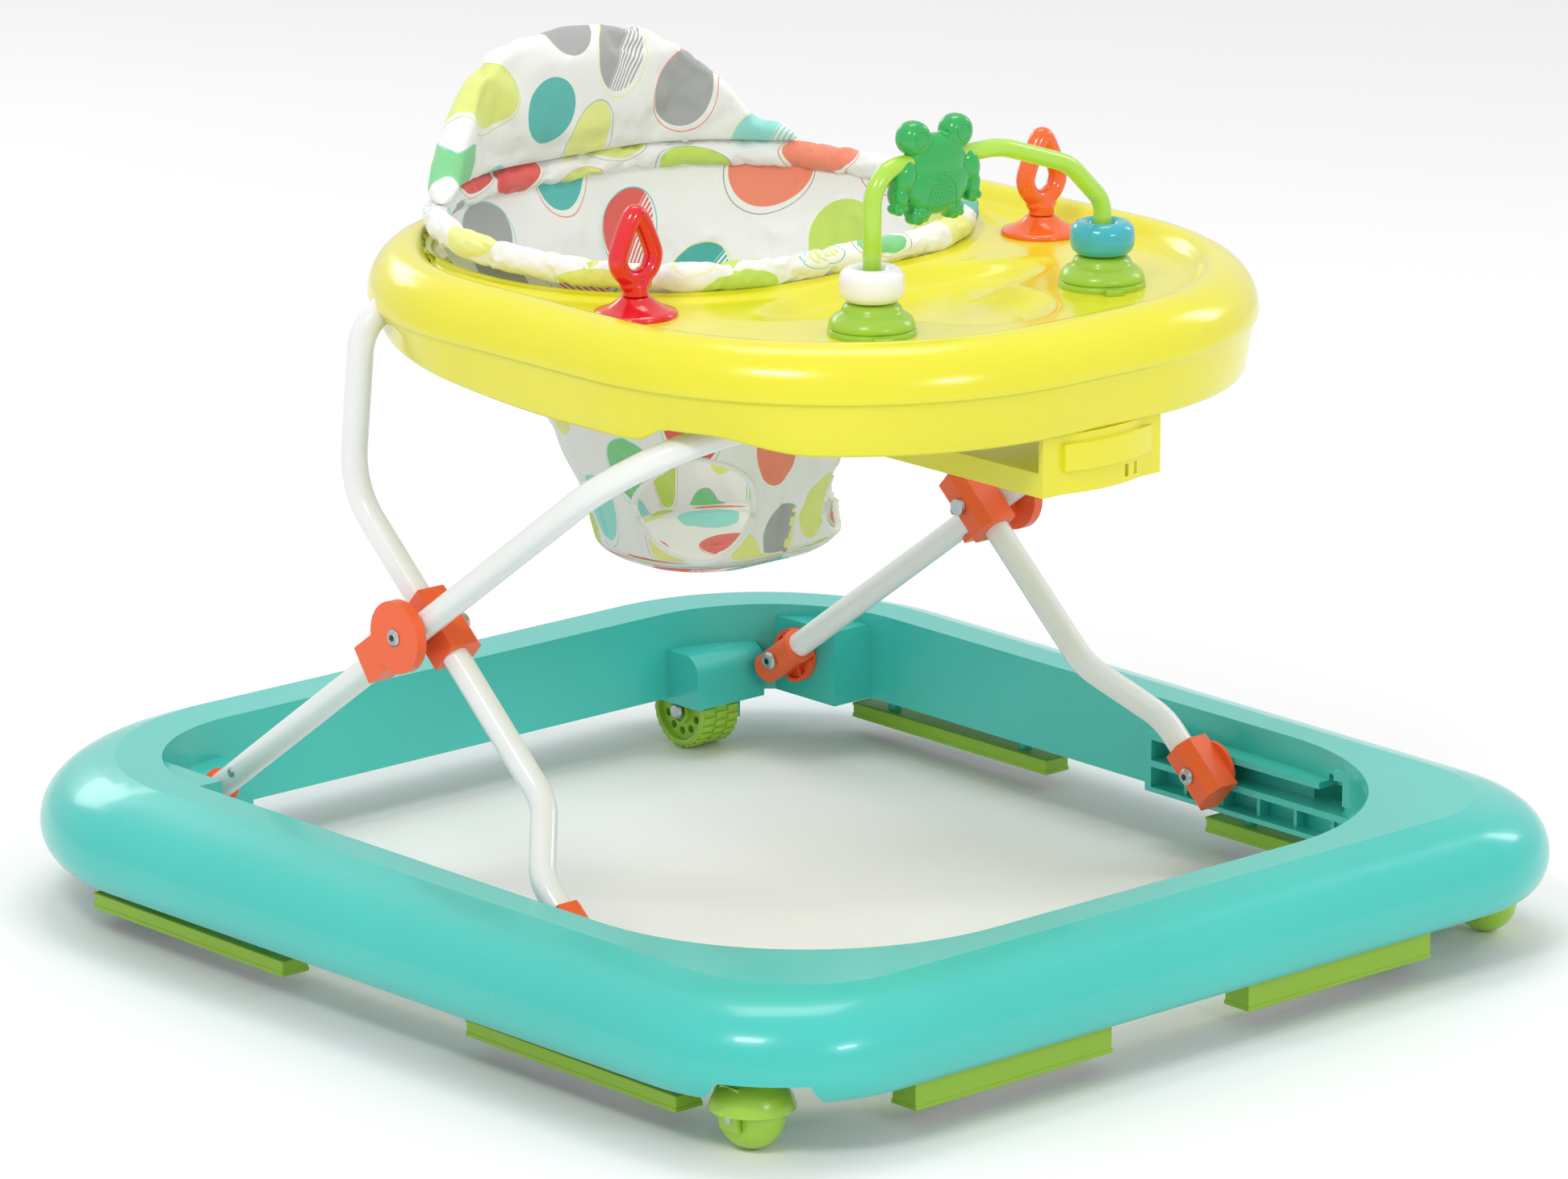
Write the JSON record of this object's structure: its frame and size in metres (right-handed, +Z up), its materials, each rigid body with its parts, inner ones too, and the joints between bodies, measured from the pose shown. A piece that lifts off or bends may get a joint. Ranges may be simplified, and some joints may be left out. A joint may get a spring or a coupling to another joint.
{
  "type": "baby walker",
  "caption": "Folding baby walker: wheeled base ring, scissor frame of bent tubes, round play tray with rattles and a fabric seat.",
  "frame": {"origin": "on the floor under the middle of the bounding box", "axes": "+Z up, the child faces -Y (toy side), +X towards the child's left"},
  "size_m": [0.6634, 0.7088, 0.4965],
  "materials": {
    "teal_plastic": "moulded, semi gloss",
    "white_tube": "powder coated steel tube, gloss",
    "yellow_plastic": "moulded, semi gloss",
    "orange_plastic": "moulded, satin",
    "lime_plastic": "moulded, semi gloss",
    "lime_rubber": "moulded soft plastic, matt sole",
    "zinc_steel": "zinc plated",
    "spring_steel": "spring wire",
    "hoop_steel": "wire sewn into the roll",
    "board_plastic": "stiffener inside the back",
    "fabric_print": "printed polyester",
    "fabric_roll": "printed polyester piping",
    "fabric_pouch": "printed polyester",
    "lime_rod": "moulded, gloss",
    "white_gloss": "moulded, gloss",
    "teal_gloss": "moulded, gloss",
    "frog_green": "moulded, gloss",
    "orange_gloss": "moulded, gloss",
    "red_gloss": "moulded, gloss"
  },
  "bodies": {
    "base": {"base_shell": "teal_plastic", "stop_pad_side_rear_left": "lime_rubber", "stop_pad_side_front_left": "lime_rubber", "stop_pad_front_left": "lime_rubber", "rear_axle_left": "zinc_steel", "pivot_bolt_left": "zinc_steel", "stop_pad_side_rear_right": "lime_rubber", "stop_pad_side_front_right": "lime_rubber", "stop_pad_front_right": "lime_rubber", "rear_axle_right": "zinc_steel", "pivot_bolt_right": "zinc_steel"},
    "outer_frame": {"outer_frame_tube": "white_tube", "pivot_socket_left": "orange_plastic", "hinge_clasp_left": "orange_plastic", "hinge_bolt_left": "zinc_steel", "snap_button_left": "zinc_steel", "pivot_socket_right": "orange_plastic", "hinge_clasp_right": "orange_plastic", "hinge_bolt_right": "zinc_steel", "snap_button_right": "zinc_steel"},
    "inner_frame": {"inner_frame_tube_left": "white_tube", "hinge_block_left": "orange_plastic", "foot_shoe_left": "orange_plastic", "foot_bolt_left": "zinc_steel", "inner_frame_tube_right": "white_tube", "hinge_block_right": "orange_plastic", "foot_shoe_right": "orange_plastic", "foot_bolt_right": "zinc_steel"},
    "tray_unit": {"tray": "yellow_plastic", "height_housing": "yellow_plastic", "seat_roll": "fabric_roll", "seat_hoop": "hoop_steel", "seat_back": "fabric_print", "seat_back_board": "board_plastic", "seat_pouch": "fabric_pouch", "arch_rod": "lime_rod", "latch_spring": "spring_steel", "tray_pivot_clip_left": "orange_plastic", "toy_flange_left": "orange_gloss", "arch_clip_left": "lime_plastic", "tray_pivot_clip_right": "orange_plastic", "toy_flange_right": "red_gloss", "arch_clip_right": "lime_plastic"},
    "latch": {"height_latch": "yellow_plastic"},
    "white_bead": {"bead_white": "white_gloss"},
    "teal_bead": {"bead_teal": "teal_gloss"},
    "frog": {"frog_bead": "frog_green"},
    "rear_wheel_left_body": {"rear_wheel_left": "lime_plastic"},
    "caster_left": {"caster_fork_left": "lime_plastic", "caster_axle_left": "zinc_steel"},
    "caster_wheel_left_body": {"caster_wheel_left": "lime_plastic"},
    "roller_left": {"foot_roller_left": "orange_plastic"},
    "ring_left": {"toy_ring_left": "orange_gloss"},
    "rear_wheel_right_body": {"rear_wheel_right": "lime_plastic"},
    "caster_right": {"caster_fork_right": "lime_plastic", "caster_axle_right": "zinc_steel"},
    "caster_wheel_right_body": {"caster_wheel_right": "lime_plastic"},
    "roller_right": {"foot_roller_right": "orange_plastic"},
    "ring_right": {"toy_ring_right": "red_gloss"}
  },
  "joints": [
    {"name": "fold", "type": "hinge", "parent": "base", "child": "outer_frame", "pos_m": [0, 0.242, 0.0596], "axis": [1, 0, 0], "range_deg": [0, 20]},
    {"name": "cross", "type": "hinge", "parent": "outer_frame", "child": "inner_frame", "pos_m": [0, 0.05, 0.1976], "axis": [1, 0, 0], "range_deg": [-44, 0]},
    {"name": "tray_tilt", "type": "hinge", "parent": "inner_frame", "child": "tray_unit", "pos_m": [0, 0.112, 0.368], "axis": [1, 0, 0], "range_deg": [0, 27.6]},
    {"name": "latch_press", "type": "slide", "parent": "tray_unit", "child": "latch", "axis": [0, 0, 1], "range_m": [0, 0.0035], "stiffness_N_per_m": 300, "springref_m": -0.004, "deforming": ["latch_spring"]},
    {"name": "white_bead_turn", "type": "hinge", "parent": "tray_unit", "child": "white_bead", "pos_m": [-0.086, -0.173, 0.412], "axis": [0, 0, 1], "continuous": true},
    {"name": "teal_bead_turn", "type": "hinge", "parent": "tray_unit", "child": "teal_bead", "pos_m": [0.086, -0.173, 0.412], "axis": [0, 0, 1], "continuous": true},
    {"name": "frog_swing", "type": "hinge", "parent": "tray_unit", "child": "frog", "pos_m": [-0.041, -0.173, 0.474], "axis": [1, 0, 0], "continuous": true},
    {"name": "rear_wheel_left_spin", "type": "hinge", "parent": "base", "child": "rear_wheel_left_body", "pos_m": [0.195, 0.29, 0.024], "axis": [1, 0, 0], "continuous": true},
    {"name": "caster_left_swivel", "type": "hinge", "parent": "base", "child": "caster_left", "pos_m": [0.279, -0.304, 0.05], "axis": [0, 0, 1], "continuous": true},
    {"name": "caster_wheel_left_spin", "type": "hinge", "parent": "caster_left", "child": "caster_wheel_left_body", "pos_m": [0.279, -0.292, 0.019], "axis": [1, 0, 0], "continuous": true},
    {"name": "foot_roller_left_spin", "type": "hinge", "parent": "inner_frame", "child": "roller_left", "pos_m": [0.255, -0.104, 0.0596], "axis": [1, 0, 0], "continuous": true},
    {"name": "toy_ring_left_turn", "type": "hinge", "parent": "tray_unit", "child": "ring_left", "pos_m": [0.152, -0.056, 0.4], "axis": [0, 0, 1], "continuous": true},
    {"name": "rear_wheel_right_spin", "type": "hinge", "parent": "base", "child": "rear_wheel_right_body", "pos_m": [-0.195, 0.29, 0.024], "axis": [1, 0, 0], "continuous": true},
    {"name": "caster_right_swivel", "type": "hinge", "parent": "base", "child": "caster_right", "pos_m": [-0.279, -0.304, 0.05], "axis": [0, 0, 1], "continuous": true},
    {"name": "caster_wheel_right_spin", "type": "hinge", "parent": "caster_right", "child": "caster_wheel_right_body", "pos_m": [-0.279, -0.292, 0.019], "axis": [1, 0, 0], "continuous": true},
    {"name": "foot_roller_right_spin", "type": "hinge", "parent": "inner_frame", "child": "roller_right", "pos_m": [-0.255, -0.104, 0.0596], "axis": [1, 0, 0], "continuous": true},
    {"name": "toy_ring_right_turn", "type": "hinge", "parent": "tray_unit", "child": "ring_right", "pos_m": [-0.152, -0.056, 0.4], "axis": [0, 0, 1], "continuous": true}
  ],
  "couplings": [
    {"joint": "cross", "follows": "fold", "ratio": -2.195},
    {"joint": "tray_tilt", "follows": "fold", "ratio": 1.375}
  ]
}
